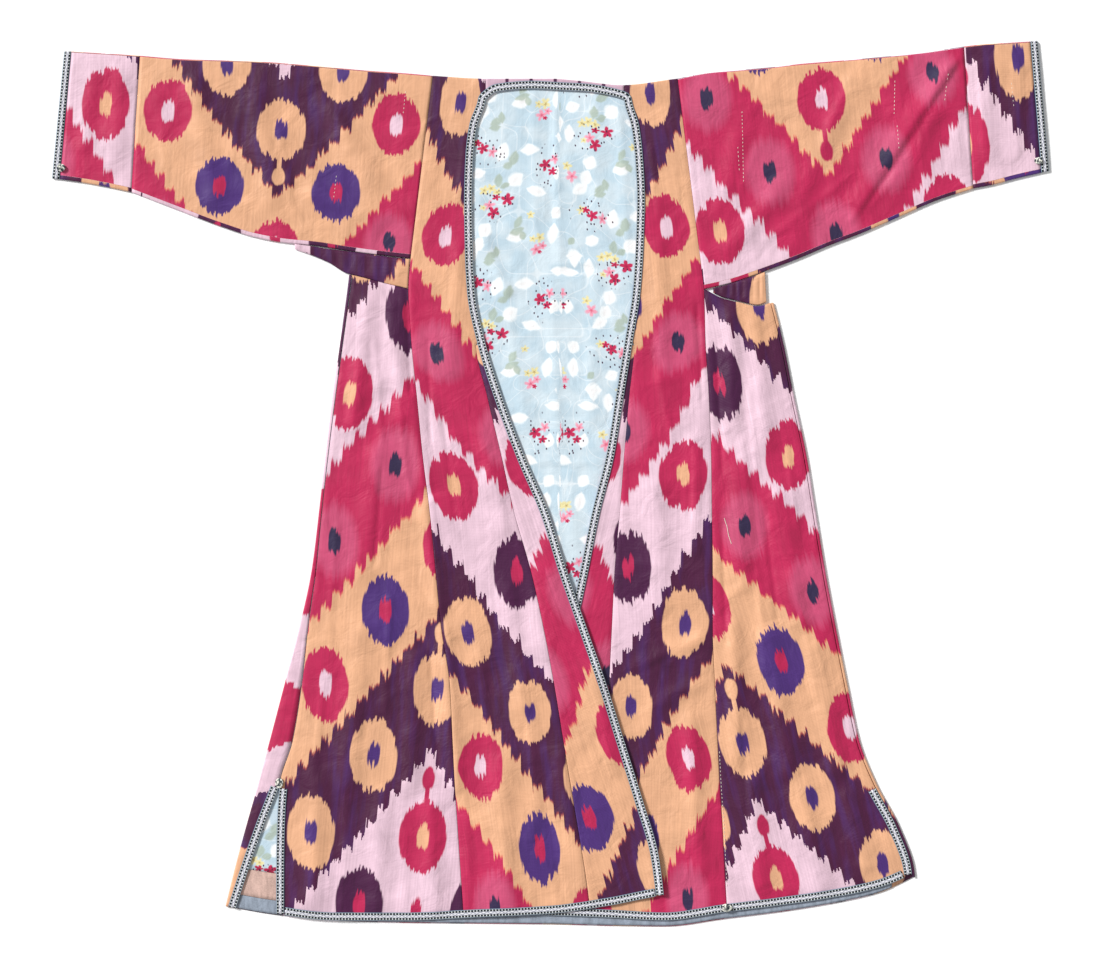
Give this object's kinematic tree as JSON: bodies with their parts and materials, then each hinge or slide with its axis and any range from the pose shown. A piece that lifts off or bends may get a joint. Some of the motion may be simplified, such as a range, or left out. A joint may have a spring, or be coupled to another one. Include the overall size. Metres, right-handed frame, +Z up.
{
  "type": "uzbek chapan robe",
  "caption": "Lined ikat robe laid flat and open, with wide sleeves, side slits, overlap gores and taped edges.",
  "frame": {"origin": "middle of the box round the laid robe, on the surface it lies on", "axes": "+X from the picture's left cuff to its right cuff, +Y from hem to neck, +Z up from the surface"},
  "size_m": [1.3959, 1.2403, 0.0117],
  "materials": {
    "ikat": "silk and cotton ikat, low sheen",
    "ikat_back": "silk and cotton ikat, low sheen",
    "neck_ikat": "silk and cotton ikat, low sheen",
    "lining": "printed cotton, matt",
    "facing": "plain cotton, matt",
    "hem_tape": "plain cotton, matt",
    "tape": "hand-woven cotton tape, matt",
    "thread": "knotted cotton thread, matt"
  },
  "bodies": {
    "root": {"back_center": "ikat_back", "back_side_left": "ikat_back", "back_side_right": "ikat_back", "lining_center": "lining", "lining_side_left": "lining", "hem_facing_back": "facing", "hem_tape_back": "hem_tape", "front_left_center": "ikat", "front_left_gore": "ikat", "front_left_side": "ikat", "front_right_center": "ikat", "front_right_gore": "ikat", "front_right_side": "ikat", "neck_strip": "neck_ikat", "sleeve_left_upper": "ikat", "sleeve_left_wrist": "ikat", "sleeve_right_upper": "ikat", "sleeve_right_wrist": "ikat", "gusset_left": "ikat", "gusset_right": "ikat", "band_front": "tape", "band_hem_left": "tape", "band_hem_right": "tape", "band_slit_back": "tape", "band_slit_front_left": "tape", "band_slit_front_right": "tape", "band_cuff_left": "tape", "band_cuff_right": "tape", "knot_cuff_left": "thread", "knot_cuff_right": "thread", "knot_hem": "thread", "knot_slit": "thread"}
  },
  "joints": []
}
